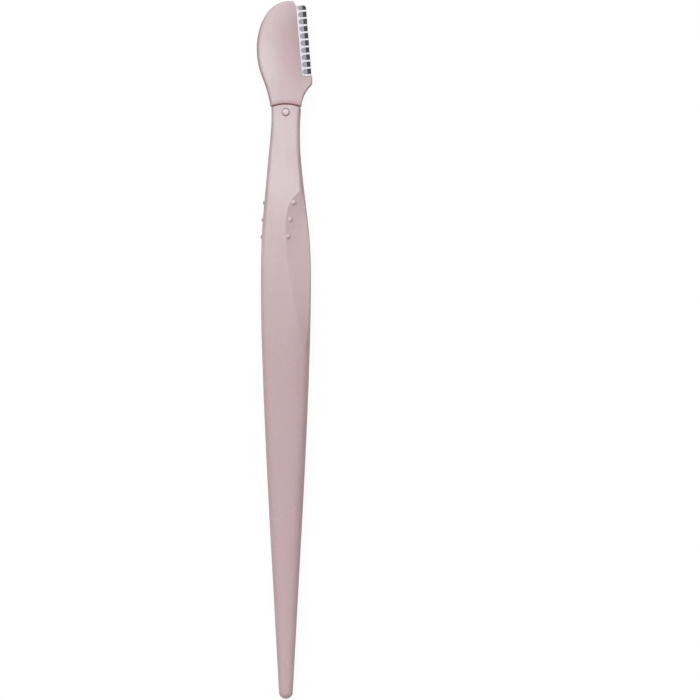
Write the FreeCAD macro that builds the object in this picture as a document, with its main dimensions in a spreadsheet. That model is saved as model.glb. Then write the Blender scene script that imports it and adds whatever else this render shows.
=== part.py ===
import FreeCAD, Part
import math
import os

import Sketcher
from FreeCAD import Placement, Rotation, Vector

# Eyebrow razor: a moulded handle, a blade head that plugs into its neck, the sprung tongue
# whose nub locks the head there, a ground blade and the slotted foil folded over its edge.
# The razor lies on its back: +Y runs along it towards the head, +X points to the cutting
# edge and +Z to the front face. The origin is the middle of the flat that it rests on.
# Every body is modelled about the razor's middle plane and lifted to that height.

os.makedirs("parts", exist_ok=True)

# Driving dimensions, in millimetres and degrees
SIZES = {
    # Places along the razor, measured from the middle of the belly
    "seam_reach": 42.0,
    "tail_reach": 85.7,
    "belly_start": 6.9,
    "shaft_drop": 43.0,
    "waist_drop": 3.0,
    "rim_overrun": 1.0,
    # Handle sections: full width and thickness
    "rim_width": 6.85,
    "rim_thickness": 4.5,
    "neck_width": 6.2,
    "neck_thickness": 4.4,
    "belly_width": 10.75,
    "belly_thickness": 6.6,
    "shaft_width": 7.5,
    "shaft_thickness": 5.0,
    "tail_diameter": 3.0,
    # Handle sections: corner, front face and side radius
    "neck_corner": 0.8,
    "neck_crown": 14.0,
    "neck_side": 6.0,
    "belly_corner": 1.1,
    "belly_crown": 40.0,
    "belly_side": 9.0,
    "shaft_corner": 2.1,
    "shaft_crown": 10.0,
    "shaft_side": 6.0,
    "tail_corner": 1.3,
    "tail_crown": 1.9,
    "shoulder_lean": 0.28,
    # Flat on the belly's back
    "rest_depth": 0.18,
    # Thumb rests, cut with a tilt into the blade side of both faces
    "thumb_rest_reach": 18.5,
    "thumb_rest_depth": 0.27,
    "thumb_rest_tilt": 17.0,
    "thumb_rest_head_radius": 29.0,
    "thumb_rest_floor_radius": 60.0,
    "thumb_rest_runout": 2.4,
    # Grip domes on the thumb rests and grip dots on the spine
    "grip_row_reach": 20.85,
    "grip_row_pitch": 3.65,
    "dome_radius": 0.58,
    "dome_rise": 0.36,
    "dome_upper_side": 1.7,
    "dome_middle_side": 0.95,
    "dome_lower_side": 0.45,
    "dot_radius": 0.5,
    "dot_rise": 0.3,
    # Seam between handle and head
    "seam_radius": 9.0,
    "seam_gap": 0.3,
    "seam_core_inset": 0.25,
    # Tenon, socket and their fit
    "tenon_width": 3.5,
    "tenon_thickness": 2.8,
    "tenon_length": 11.0,
    "tenon_nose": 0.4,
    "fit_clearance": 0.05,
    "socket_end_play": 0.4,
    # Sprung tongue and its nub
    "nub_drop": 1.8,
    "nub_diameter": 1.6,
    "nub_rise": 0.35,
    "nub_round": 0.55,
    "nub_window_clearance": 0.05,
    "nub_window_shift": 0.02,
    "tongue_lever": 8.0,
    "tongue_end": 0.95,
    "tongue_width": 2.0,
    "tongue_thickness": 0.6,
    "tongue_root_radius": 0.45,
    "tongue_end_clearance": 0.2,
    "tongue_floor_clearance": 0.1,
    "press_angle": 8.3,
    # Blade head outline
    "head_length": 22.2,
    "shank_width": 6.6,
    "sweep_radius": 29.5,
    "back_reach": 6.26,
    "back_reach_rise": 11.9,
    "back_radius": 16.3,
    "shoulder_rise": 16.16,
    "crown_radius": 5.6,
    "crown_side": 0.76,
    "tip_flat": 0.85,
    "tip_drop": 1.2,
    "horn_reach": 5.65,
    "horn_height": 1.85,
    "horn_under_radius": 7.0,
    "outline_round": 0.3,
    # Blade head faces: thickness, face radius and crest place at three stations
    "shank_thickness": 3.9,
    "shank_face_radius": 40.0,
    "head_thickness": 3.1,
    "head_face_radius": 16.0,
    "head_crest_side": 2.4,
    "tip_thickness": 2.9,
    "face_overrun": 1.5,
    "back_round_share": 0.63,
    "horn_round": 0.3,
    # Blade, with its place on the head
    "heel_side": 5.5,
    "heel_rise": 6.2,
    "heel_gap": 0.05,
    "blade_tilt": 4.6,
    "blade_length": 15.2,
    "blade_width": 5.4,
    "blade_thickness": 0.25,
    "blade_exposure": 2.1,
    "bevel_width": 0.8,
    "edge_thickness": 0.03,
    "blade_tip_round": 0.6,
    "anchor_diameter": 1.3,
    "anchor_inset": 1.5,
    "anchor_first": 3.6,
    "anchor_spacing": 8.0,
    "blade_clearance": 0.02,
    # Guard foil
    "foil_thickness": 0.1,
    "foil_play": 0.015,
    "guard_hold": 0.8,
    "guard_strip": 0.3,
    "guard_bar": 0.38,
    "guard_setback": 0.1,
    "guard_open_end": 0.25,
    "guard_slot_count": 10,
    "guard_nose": 0.1,
}


class Size:
    """A number that keeps the sheet expression it comes from."""

    def __init__(self, value, text):
        self.value = value
        self.text = text

    def __add__(self, other):
        other = as_size(other)
        return Size(self.value + other.value, f"({self.text} + {other.text})")

    def __sub__(self, other):
        other = as_size(other)
        return Size(self.value - other.value, f"({self.text} - {other.text})")

    def __mul__(self, other):
        other = as_size(other)
        return Size(self.value * other.value, f"({self.text} * {other.text})")

    def __truediv__(self, other):
        other = as_size(other)
        return Size(self.value / other.value, f"({self.text} / {other.text})")

    def __neg__(self):
        return Size(-self.value, f"(0 - {self.text})")


def as_size(number):
    if isinstance(number, Size):
        return number
    return Size(number, f"{number:.6g}")


def size(name):
    return Size(SIZES[name], f"Sizes.{name}")


def sine(angle):
    return Size(math.sin(math.radians(angle.value)), f"sin({angle.text} * 1 deg)")


def cosine(angle):
    return Size(math.cos(math.radians(angle.value)), f"cos({angle.text} * 1 deg)")


def between(first, second, share):
    """A size part of the way from one size to another."""
    return first + (second - first) * share


doc = FreeCAD.newDocument("eyebrow_razor")
sheet = doc.addObject("Spreadsheet::Sheet", "Sizes")
for row, (name, value) in enumerate(SIZES.items(), start=1):
    sheet.set(f"A{row}", name)
    sheet.set(f"B{row}", str(value))
    sheet.setAlias(f"B{row}", name)
doc.recompute()

# Places that several pieces share
rest_height = size("belly_thickness") / 2 - size("rest_depth")
seam_y = size("seam_reach")
seam_centre_y = seam_y - size("seam_gap") / 2 - size("seam_radius")
waist_y = seam_y - size("waist_drop")
rim_y = seam_y + size("rim_overrun")
nub_y = seam_y - size("nub_drop")
hinge_y = nub_y - size("tongue_lever")
tongue_front = size("tenon_thickness") / 2 - size("fit_clearance")
hinge_z = tongue_front - size("tongue_root_radius")
tongue_back = tongue_front - size("tongue_thickness")
heel_y = seam_y + size("heel_rise")
head_top = seam_y + size("head_length")
tilt = size("blade_tilt")
guard_length = size("blade_length") - size("guard_setback")
guard_pitch = (guard_length + size("guard_open_end")) / size("guard_slot_count")
slot_height = guard_pitch - size("guard_bar")
head_blank = size("shank_thickness") * 1.5
tip_off_crest = size("head_crest_side") + size("crown_side") + size("tip_flat")
tip_edge = size("tip_thickness") / 2 - tip_off_crest * tip_off_crest / (size("head_face_radius") * 2)


def new_body(label):
    body = doc.addObject("PartDesign::Body", label)
    body.Label = label
    return body


def lift(body):
    """Raise a body from the middle plane to where the razor lies."""
    body.setExpression("Placement.Base.z", rest_height.text)


def origin_feature(body, role):
    return next(item for item in body.Origin.OriginFeatures if item.Role == role)


def attach(item, body, plane, shift=(0, 0, 0), axis=(0, 0, 1), angle=None):
    """Hold an item on an origin plane of its body, shifted and turned in that plane's frame."""
    item.AttachmentSupport = (origin_feature(body, plane), "")
    item.MapMode = "FlatFace"
    turn = angle.value if angle else 0
    base = [as_size(step) for step in shift]
    item.AttachmentOffset = Placement(Vector(*[step.value for step in base]), Rotation(Vector(*axis), turn))
    for letter, step in zip("xyz", base):
        item.setExpression(f"AttachmentOffset.Base.{letter}", step.text)
    if angle:
        item.setExpression("AttachmentOffset.Rotation.Angle", angle.text)


def new_sketch(body, name, plane, **where):
    sketch = body.newObject("Sketcher::SketchObject", name)
    attach(sketch, body, plane, **where)
    return sketch


def point(x, y):
    return Vector(as_size(x).value, as_size(y).value, 0)


def line(sketch, start, end):
    return sketch.addGeometry(Part.LineSegment(start, end), False)


def arc(sketch, centre, start, end):
    """An arc about a centre, counterclockwise from one point to another."""
    radius = (start - centre).Length
    first = math.atan2(start.y - centre.y, start.x - centre.x)
    last = math.atan2(end.y - centre.y, end.x - centre.x)
    if last <= first:
        last += 2 * math.pi
    circle = Part.Circle(centre, Vector(0, 0, 1), radius)
    return sketch.addGeometry(Part.ArcOfCircle(circle, first, last), False)


def rule(sketch, kind, *where):
    return sketch.addConstraint(Sketcher.Constraint(kind, *where))


def dimension(sketch, kind, *where):
    """A constraint whose last entry is a size, tied to the sheet."""
    amount = where[-1]
    value = math.radians(amount.value) if kind == "Angle" else amount.value
    index = sketch.addConstraint(Sketcher.Constraint(kind, *where[:-1], value))
    sketch.setExpression(f"Constraints[{index}]", amount.text)


ORIGIN = (-1, 1)
X_AXIS, Y_AXIS = range(-1, -3, -1)
START, END, CENTRE = range(1, 4)


def place(sketch, item, spot, x=None, y=None):
    """Dimension a point from the sketch's origin, on either side of it."""
    for kind, step in (("DistanceX", x), ("DistanceY", y)):
        if step is None:
            continue
        if step.value >= 0:
            dimension(sketch, kind, *ORIGIN, item, spot, step)
        else:
            dimension(sketch, kind, item, spot, *ORIGIN, -step)


def polygon(sketch, corners):
    """A closed outline of straight lines, each corner dimensioned from the origin."""
    corners = [(as_size(x), as_size(y)) for x, y in corners]
    spots = [point(x, y) for x, y in corners]
    sides = [line(sketch, spots[i], spots[(i + 1) % len(spots)]) for i in range(len(spots))]
    for i, side in enumerate(sides):
        rule(sketch, "Coincident", side, END, sides[(i + 1) % len(sides)], START)
        place(sketch, side, START, *corners[i])


def rectangle(sketch, left, right, low, high):
    polygon(sketch, [(left, low), (right, low), (right, high), (left, high)])


def circle(sketch, x, y, diameter):
    shape = Part.Circle(point(x, y), Vector(0, 0, 1), diameter.value / 2)
    ring = sketch.addGeometry(shape, False)
    dimension(sketch, "Diameter", ring, diameter)
    place(sketch, ring, CENTRE, as_size(x), as_size(y))


def extrude(body, kind, name, sketch, length, both_ways=False, reverse=False):
    feature = body.newObject(f"PartDesign::{kind}", name)
    feature.Profile = sketch
    feature.SideType = "Symmetric" if both_ways else "One side"
    feature.Length = length.value
    feature.setExpression("Length", length.text)
    feature.Reversed = reverse
    body.Tip = feature
    return feature


def loft(body, kind, name, sections):
    feature = body.newObject(f"PartDesign::{kind}", name)
    feature.Profile = sections[0]
    feature.Sections = sections[1:]
    body.Tip = feature
    return feature


def mirror(body, name, features, plane):
    feature = body.newObject("PartDesign::Mirrored", name)
    feature.Originals = features
    feature.MirrorPlane = (origin_feature(body, plane), [""])
    body.Tip = feature
    return feature


def dress(body, kind, name, measure, amount, keep_edge):
    """Round or bevel the edges of the body's last feature that a test picks out."""
    doc.recompute()
    base = body.Tip
    edges = [f"Edge{i}" for i, edge in enumerate(base.Shape.Edges, start=1) if keep_edge(edge)]
    feature = body.newObject(f"PartDesign::{kind}", name)
    feature.Base = (base, edges)
    setattr(feature, measure, amount.value)
    feature.setExpression(measure, amount.text)
    body.Tip = feature


def fillet(body, name, radius, keep_edge):
    dress(body, "Fillet", name, "Radius", radius, keep_edge)


def sphere(body, name, radius, x, y, z):
    feature = body.newObject("PartDesign::AdditiveSphere", name)
    attach(feature, body, "XY_Plane", shift=(x, y, z))
    feature.Radius = radius.value
    feature.setExpression("Radius", radius.text)
    body.Tip = feature
    return feature


def circles_meet(centre_a, radius_a, centre_b, radius_b, side):
    """Where two circles cross, on the left (1) or right (-1) of the way from a to b."""
    gap = centre_b - centre_a
    along = (radius_a**2 - radius_b**2 + gap.Length**2) / (2 * gap.Length)
    off = math.sqrt(radius_a**2 - along**2)
    step = gap / gap.Length
    return centre_a + step * along + Vector(-step.y, step.x, 0) * off * side


def oval(body, name, y, section, lean=0, scale=1):
    """A rounded box section across the handle: crowned faces, bowed sides and soft corners."""
    width, thickness, corner, crown, side = [amount * scale for amount in section]
    sketch = new_sketch(body, name, "XZ_Plane", shift=(lean, 0, -y))
    side_drop = side - width / 2
    crown_drop = crown - thickness / 2
    side_centre = Vector(-side_drop.value, 0, 0)
    crown_centre = Vector(0, -crown_drop.value, 0)
    corner_centre = circles_meet(
        side_centre, side.value - corner.value, crown_centre, crown.value - corner.value, 1
    )
    beside = side_centre + (corner_centre - side_centre).normalize() * side.value
    above = crown_centre + (corner_centre - crown_centre).normalize() * crown.value

    def flipped(spot, x_sign, y_sign):
        return Vector(spot.x * x_sign, spot.y * y_sign, 0)

    arcs = [
        arc(sketch, side_centre, flipped(beside, 1, -1), beside),
        arc(sketch, corner_centre, beside, above),
        arc(sketch, crown_centre, above, flipped(above, -1, 1)),
        arc(sketch, flipped(corner_centre, -1, 1), flipped(above, -1, 1), flipped(beside, -1, 1)),
        arc(sketch, flipped(side_centre, -1, 1), flipped(beside, -1, 1), flipped(beside, -1, -1)),
        arc(sketch, flipped(corner_centre, -1, -1), flipped(beside, -1, -1), flipped(above, -1, -1)),
        arc(sketch, flipped(crown_centre, 1, -1), flipped(above, -1, -1), flipped(above, 1, -1)),
        arc(sketch, flipped(corner_centre, 1, -1), flipped(above, 1, -1), flipped(beside, 1, -1)),
    ]
    right, corner_arc, front, _, left, _, back, _ = arcs
    for i, item in enumerate(arcs):
        rule(sketch, "Tangent", item, END, arcs[(i + 1) % len(arcs)], START)
    for other in arcs[3::2]:
        rule(sketch, "Equal", corner_arc, other)
    rule(sketch, "Equal", right, left)
    rule(sketch, "Equal", front, back)
    dimension(sketch, "Radius", corner_arc, corner)
    dimension(sketch, "Radius", right, side)
    dimension(sketch, "Radius", front, crown)
    for item in (right, left):
        rule(sketch, "PointOnObject", item, CENTRE, X_AXIS)
    for item in (front, back):
        rule(sketch, "PointOnObject", item, CENTRE, Y_AXIS)
    dimension(sketch, "DistanceX", right, CENTRE, *ORIGIN, side_drop)
    dimension(sketch, "DistanceX", *ORIGIN, left, CENTRE, side_drop)
    dimension(sketch, "DistanceY", front, CENTRE, *ORIGIN, crown_drop)
    dimension(sketch, "DistanceY", *ORIGIN, back, CENTRE, crown_drop)
    return sketch


# Handle

def handle_section(station):
    """Width, thickness, corner, crown and side of a named section of the handle."""
    return [size(f"{station}_{part}") for part in ("width", "thickness", "corner", "crown", "side")]


neck = handle_section("neck")
belly = handle_section("belly")
shaft = handle_section("shaft")
rim = [size("rim_width"), size("rim_thickness")] + neck[2:]
tail = [
    size("tail_diameter"),
    size("tail_diameter"),
    size("tail_corner"),
    size("tail_crown"),
    size("tail_crown"),
]


def mixed(first, second, share):
    return [between(a, b, share) for a, b in zip(first, second)]


def grip_ease(run):
    """How far the handle has swelled from neck to belly, part of the way down."""
    return 3 * run**2 - 2 * run**3


def grip_lean(run):
    """How far a section steps to the spine's side between neck and belly, at most the lean."""
    return -size("shoulder_lean") * (27 / 4 * run * (1 - run) ** 2)


def grip_spine(run):
    """Place of the spine across the handle between neck and belly."""
    return grip_lean(run) - between(neck[0], belly[0], grip_ease(run)) / 2


def thumb_rest_rise(step):
    """Height of the thumb rest over its lowest line, a step along the razor from there."""
    if step.value > 0:
        return step * step / (size("thumb_rest_head_radius") * 2)
    radius = size("thumb_rest_floor_radius")
    runout = size("thumb_rest_runout")
    bend = radius * sine(runout)
    if -step.value < bend.value:
        return step * step / (radius * 2)
    slope = sine(runout) / cosine(runout)
    return bend * bend / (radius * 2) + (-step - bend) * slope


def make_handle():
    body = new_body("handle")
    lift(body)
    belly_start = size("belly_start")
    shaft_y = -size("shaft_drop")
    tail_y = size("tail_diameter") / 2 - size("tail_reach")
    sections = [oval(body, "rim_section", rim_y, rim)]
    grip_steps = 5
    for step in range(grip_steps + 1):
        run = step / grip_steps
        y = between(waist_y, belly_start, run)
        section = mixed(neck, belly, grip_ease(run))
        sections.append(oval(body, f"grip_section_{step}", y, section, lean=grip_lean(run)))
    taper_steps = 6
    taper_power = 1.4
    for step in range(taper_steps):
        run = step / taper_steps
        section = mixed(belly, shaft, run**taper_power)
        sections.append(oval(body, f"taper_section_{step}", shaft_y * run, section))
    shaft_section = oval(body, "shaft_section", shaft_y, shaft)
    loft(body, "AdditiveLoft", "grip", sections + [shaft_section])
    loft(body, "AdditiveLoft", "stem", [shaft_section, oval(body, "tail_section", tail_y, tail)])

    cap_sections = []
    for step, turn in enumerate((0, 35, 62, 82)):
        reach = size("tail_diameter") / 2 * math.sin(math.radians(turn))
        shrink = math.cos(math.radians(turn))
        cap_sections.append(oval(body, f"tail_cap_section_{step}", tail_y - reach, tail, scale=shrink))
    loft(body, "AdditiveLoft", "tail_cap", cap_sections)

    cut_seam(body)
    cut_socket(body)
    cut_rest_flat(body)
    mirror(body, "back_thumb_rest", [cut_thumb_rest(body)], "XY_Plane")
    add_grip_domes(body)
    add_spine_dots(body)
    return body


def arch(sketch, half, radius, top):
    """An outline about the seam's centre: an arch at its foot, straight sides and a flat top."""
    rise = math.sqrt(radius.value**2 - half.value**2)
    centre = point(0, seam_centre_y)
    right = centre + Vector(half.value, rise, 0)
    left = centre + Vector(-half.value, rise, 0)
    foot = arc(sketch, centre, right, left)
    left_side = line(sketch, left, point(-half, top))
    lid = line(sketch, point(-half, top), point(half, top))
    right_side = line(sketch, point(half, top), right)
    chain = [foot, left_side, lid, right_side]
    for i, item in enumerate(chain):
        rule(sketch, "Coincident", item, END, chain[(i + 1) % len(chain)], START)
    rule(sketch, "Vertical", left_side)
    rule(sketch, "Vertical", right_side)
    dimension(sketch, "Radius", foot, radius)
    rule(sketch, "PointOnObject", foot, CENTRE, Y_AXIS)
    place(sketch, foot, CENTRE, y=seam_centre_y)
    place(sketch, lid, START, x=-half, y=top)
    place(sketch, lid, END, x=half, y=top)


def cut_seam(body):
    """Trim the neck to its domed end under the head."""
    sketch = new_sketch(body, "seam_sketch", "XY_Plane")
    arch(sketch, size("rim_width"), size("seam_radius"), rim_y + size("rim_overrun"))
    extrude(body, "Pocket", "seam_cut", sketch, size("rim_thickness") * 2, both_ways=True)


def cut_socket(body):
    """The socket for the tenon and the window that the nub snaps into."""
    fit = size("fit_clearance")
    sketch = new_sketch(body, "socket_sketch", "XZ_Plane", shift=(0, 0, -rim_y))
    half_width = size("tenon_width") / 2 + fit
    half_thickness = size("tenon_thickness") / 2 + fit
    rectangle(sketch, -half_width, half_width, -half_thickness, half_thickness)
    depth = size("rim_overrun") + size("tenon_length") + size("socket_end_play")
    extrude(body, "Pocket", "socket", sketch, depth, reverse=True)
    window = new_sketch(body, "nub_window_sketch", "XY_Plane")
    across = size("nub_diameter") + size("nub_window_clearance") * 2
    circle(window, 0, nub_y + size("nub_window_shift"), across)
    extrude(body, "Pocket", "nub_window", window, size("neck_thickness"), reverse=True)


def cut_rest_flat(body):
    sketch = new_sketch(body, "rest_flat_sketch", "XY_Plane", shift=(0, 0, -rest_height))
    half_width = size("belly_width") / 2
    rectangle(sketch, -half_width, half_width, -size("shaft_drop"), waist_y)
    extrude(body, "Pocket", "rest_flat", sketch, size("rest_depth") * 2)


def cut_thumb_rest(body):
    """A tilted scoop: round at the head end, nearly flat on its floor, running out to the tail."""
    floor = size("belly_thickness") / 2 - size("thumb_rest_depth")
    sketch = new_sketch(
        body,
        "thumb_rest_sketch",
        "YZ_Plane",
        shift=(size("thumb_rest_reach"), floor, 0),
        axis=(1, 0, 0),
        angle=size("thumb_rest_tilt"),
    )
    head_radius = size("thumb_rest_head_radius")
    floor_radius = size("thumb_rest_floor_radius")
    runout = size("thumb_rest_runout")
    head_end = head_radius / 2
    tail_end = size("shaft_drop")
    top = size("belly_thickness")
    lowest = Vector(0, 0, 0)
    head_centre = point(0, head_radius)
    floor_centre = point(0, floor_radius)
    head_rise = head_radius.value - math.sqrt(head_radius.value**2 - head_end.value**2)
    head_point = Vector(head_end.value, head_rise, 0)
    slope = math.radians(runout.value)
    floor_point = Vector(-math.sin(slope), 1 - math.cos(slope), 0) * floor_radius.value
    far_rise = floor_point.y + (tail_end.value + floor_point.x) * math.tan(slope)
    far_point = Vector(-tail_end.value, far_rise, 0)
    head_arc = arc(sketch, head_centre, lowest, head_point)
    head_wall = line(sketch, head_point, point(head_end, top))
    lid = line(sketch, point(head_end, top), point(-tail_end, top))
    tail_wall = line(sketch, point(-tail_end, top), far_point)
    ramp = line(sketch, far_point, floor_point)
    floor_arc = arc(sketch, floor_centre, floor_point, lowest)
    chain = [head_arc, head_wall, lid, tail_wall, ramp]
    for i, item in enumerate(chain[:-1]):
        rule(sketch, "Coincident", item, END, chain[i + 1], START)
    rule(sketch, "Tangent", ramp, END, floor_arc, START)
    rule(sketch, "Coincident", floor_arc, END, *ORIGIN)
    rule(sketch, "Coincident", head_arc, START, *ORIGIN)
    rule(sketch, "PointOnObject", head_arc, CENTRE, Y_AXIS)
    rule(sketch, "PointOnObject", floor_arc, CENTRE, Y_AXIS)
    rule(sketch, "Vertical", head_wall)
    rule(sketch, "Vertical", tail_wall)
    dimension(sketch, "Radius", head_arc, head_radius)
    dimension(sketch, "Radius", floor_arc, floor_radius)
    place(sketch, floor_arc, START, x=-(floor_radius * sine(runout)))
    place(sketch, lid, START, x=head_end, y=top)
    place(sketch, lid, END, x=-tail_end, y=top)
    return extrude(body, "Pocket", "thumb_rest", sketch, size("belly_width") * 2, both_ways=True)


def add_grip_domes(body):
    """A row of domes beside the ridge of the front thumb rest."""
    floor = size("belly_thickness") / 2 - size("thumb_rest_depth")
    slope = sine(size("thumb_rest_tilt")) / cosine(size("thumb_rest_tilt"))
    sink = size("dome_radius") - size("dome_rise")
    for step, name in enumerate(("upper", "middle", "lower")):
        x = size(f"dome_{name}_side")
        y = size("grip_row_reach") - size("grip_row_pitch") * step
        z = floor + thumb_rest_rise(y - size("thumb_rest_reach")) - x * slope - sink
        sphere(body, f"{name}_dome", size("dome_radius"), x, y, z)


def add_spine_dots(body):
    """A row of dots on the spine, level with the domes."""
    sink = size("dot_radius") - size("dot_rise")
    run_length = waist_y.value - SIZES["belly_start"]
    for step in range(3):
        y = size("grip_row_reach") - size("grip_row_pitch") * step
        run = (waist_y.value - y.value) / run_length
        sphere(body, f"spine_dot_{step}", size("dot_radius"), grip_spine(run) + sink, y, 0)


# Blade head

def blade_spot(out, along):
    """A place given out from the cutting edge and along it, in the razor's plane."""
    x = size("heel_side") + cosine(tilt) * out - sine(tilt) * along
    y = heel_y + sine(tilt) * out + cosine(tilt) * along
    return x, y


def head_outline(body):
    """The head seen from the front, clockwise from the seam up its back and down the blade side."""
    sketch = new_sketch(body, "head_outline", "XY_Plane")
    half = size("shank_width") / 2
    seam_radius = size("seam_radius") + size("seam_gap")
    sweep = size("sweep_radius")
    back = size("back_radius")
    crown = size("crown_radius")
    back_x = back - size("back_reach")
    back_y = seam_y + size("back_reach_rise")
    shoulder_y = seam_y + size("shoulder_rise")
    heel_x, heel_low = blade_spot(-size("blade_exposure"), -size("heel_gap"))

    seam_centre = point(0, seam_centre_y)
    seam_rise = math.sqrt(seam_radius.value**2 - half.value**2)
    right_foot = seam_centre + Vector(half.value, seam_rise, 0)
    left_foot = seam_centre + Vector(-half.value, seam_rise, 0)
    back_centre = point(back_x, back_y)
    sweep_centre = circles_meet(left_foot, sweep.value, back_centre, sweep.value + back.value, 1)
    bend = sweep_centre + (back_centre - sweep_centre).normalize() * sweep.value
    lift_up = shoulder_y.value - back_y.value
    shoulder = back_centre + Vector(-math.sqrt(back.value**2 - lift_up**2), lift_up, 0)
    crown_centre = point(size("crown_side"), head_top - crown)
    inward = (back_centre - shoulder).normalize()
    reach = shoulder - crown_centre
    turn_radius = (crown.value**2 - reach.Length**2) / (2 * (inward.dot(reach) + crown.value))
    turn_centre = shoulder + inward * turn_radius
    brow = turn_centre + (crown_centre - turn_centre).normalize() * turn_radius
    top_start = point(size("crown_side"), head_top)
    top_end = point(size("crown_side") + size("tip_flat"), head_top)
    heel = point(heel_x, heel_low)
    up_blade = Vector(-math.sin(math.radians(tilt.value)), math.cos(math.radians(tilt.value)), 0)
    tip = heel + up_blade * ((head_top.value - SIZES["tip_drop"] - heel.y) / up_blade.y)
    horn_run = (SIZES["horn_reach"] - heel.x) * math.tan(math.radians(tilt.value))
    horn_top = Vector(SIZES["horn_reach"], heel.y + horn_run, 0)
    horn_low = horn_top - Vector(0, SIZES["horn_height"], 0)
    under = size("horn_under_radius")
    under_centre = circles_meet(right_foot, under.value, horn_low, under.value, -1)

    seam = arc(sketch, seam_centre, right_foot, left_foot)
    sweep_arc = arc(sketch, sweep_centre, left_foot, bend)
    back_arc = arc(sketch, back_centre, shoulder, bend)
    turn_arc = arc(sketch, turn_centre, brow, shoulder)
    crown_arc = arc(sketch, crown_centre, top_start, brow)
    top = line(sketch, top_start, top_end)
    tip_side = line(sketch, top_end, tip)
    blade_side = line(sketch, tip, heel)
    horn_edge = line(sketch, heel, horn_top)
    horn_side = line(sketch, horn_top, horn_low)
    under_arc = arc(sketch, under_centre, horn_low, right_foot)

    rule(sketch, "Coincident", seam, END, sweep_arc, START)
    rule(sketch, "Tangent", sweep_arc, END, back_arc, END)
    rule(sketch, "Tangent", back_arc, START, turn_arc, END)
    rule(sketch, "Tangent", turn_arc, START, crown_arc, END)
    rule(sketch, "Tangent", crown_arc, START, top, START)
    straight = [top, tip_side, blade_side, horn_edge, horn_side, under_arc, seam]
    for first, second in zip(straight, straight[1:]):
        rule(sketch, "Coincident", first, END, second, START)
    rule(sketch, "PointOnObject", seam, CENTRE, Y_AXIS)
    place(sketch, seam, CENTRE, y=seam_centre_y)
    dimension(sketch, "Radius", seam, seam_radius)
    place(sketch, seam, START, x=half)
    place(sketch, seam, END, x=-half)
    dimension(sketch, "Radius", sweep_arc, sweep)
    dimension(sketch, "Radius", back_arc, back)
    place(sketch, back_arc, CENTRE, x=back_x, y=back_y)
    place(sketch, back_arc, START, y=shoulder_y)
    dimension(sketch, "Radius", crown_arc, crown)
    rule(sketch, "Horizontal", top)
    place(sketch, top, START, x=size("crown_side"), y=head_top)
    dimension(sketch, "DistanceX", top, START, top, END, size("tip_flat"))
    dimension(sketch, "DistanceY", tip_side, END, tip_side, START, size("tip_drop"))
    place(sketch, blade_side, END, x=heel_x, y=heel_low)
    dimension(sketch, "Angle", horn_edge, tilt)
    rule(sketch, "Perpendicular", blade_side, horn_edge)
    place(sketch, horn_edge, END, x=size("horn_reach"))
    rule(sketch, "Vertical", horn_side)
    dimension(sketch, "DistanceY", horn_side, END, horn_side, START, size("horn_height"))
    dimension(sketch, "Radius", under_arc, under)
    return sketch


def face_section(body, name, y, thickness, radius, crest):
    """Everything in front of the head's crowned face at one station, to be cut away."""
    sketch = new_sketch(body, name, "XZ_Plane", shift=(0, 0, -y))
    half = size("back_reach") + size("face_overrun")
    drop = radius - thickness / 2
    centre = point(-crest, -drop)
    right = Vector(half.value, centre.y + math.sqrt(radius.value**2 - (half.value - centre.x) ** 2), 0)
    left = Vector(-half.value, centre.y + math.sqrt(radius.value**2 - (half.value + centre.x) ** 2), 0)
    face = arc(sketch, centre, right, left)
    left_side = line(sketch, left, point(-half, head_blank))
    lid = line(sketch, point(-half, head_blank), point(half, head_blank))
    right_side = line(sketch, point(half, head_blank), right)
    chain = [face, left_side, lid, right_side]
    for i, item in enumerate(chain):
        rule(sketch, "Coincident", item, END, chain[(i + 1) % len(chain)], START)
    rule(sketch, "Vertical", left_side)
    rule(sketch, "Vertical", right_side)
    place(sketch, lid, START, x=-half, y=head_blank)
    place(sketch, lid, END, x=half, y=head_blank)
    dimension(sketch, "Radius", face, radius)
    place(sketch, face, CENTRE, x=-crest, y=-drop)
    return sketch


def shape_faces(body):
    """Crown the front and the back: flat at the shank, a lens that thins to the blade above it."""
    shank_thickness = size("shank_thickness")
    head_thickness = size("head_thickness")
    shank_radius = size("shank_face_radius")
    head_radius = size("head_face_radius")
    crest = size("head_crest_side")
    middle_y = seam_y + size("back_reach_rise")
    throat_y = between(seam_y, middle_y, 0.38)
    throat_thickness = between(shank_thickness, head_thickness, 0.25)
    throat_radius = between(shank_radius, head_radius, 0.4)
    low_y = seam_y - size("face_overrun")
    high_y = head_top + size("face_overrun")
    stations = [
        ("shank_face", low_y, shank_thickness, shank_radius, crest * 0),
        ("throat_face", throat_y, throat_thickness, throat_radius, crest * 0.35),
        ("head_face", middle_y, head_thickness, head_radius, crest),
        ("tip_face", high_y, size("tip_thickness"), head_radius, crest),
    ]
    sections = [face_section(body, *station) for station in stations]
    front = loft(body, "SubtractiveLoft", "front_face", sections)
    mirror(body, "back_face", [front], "XY_Plane")


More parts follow.
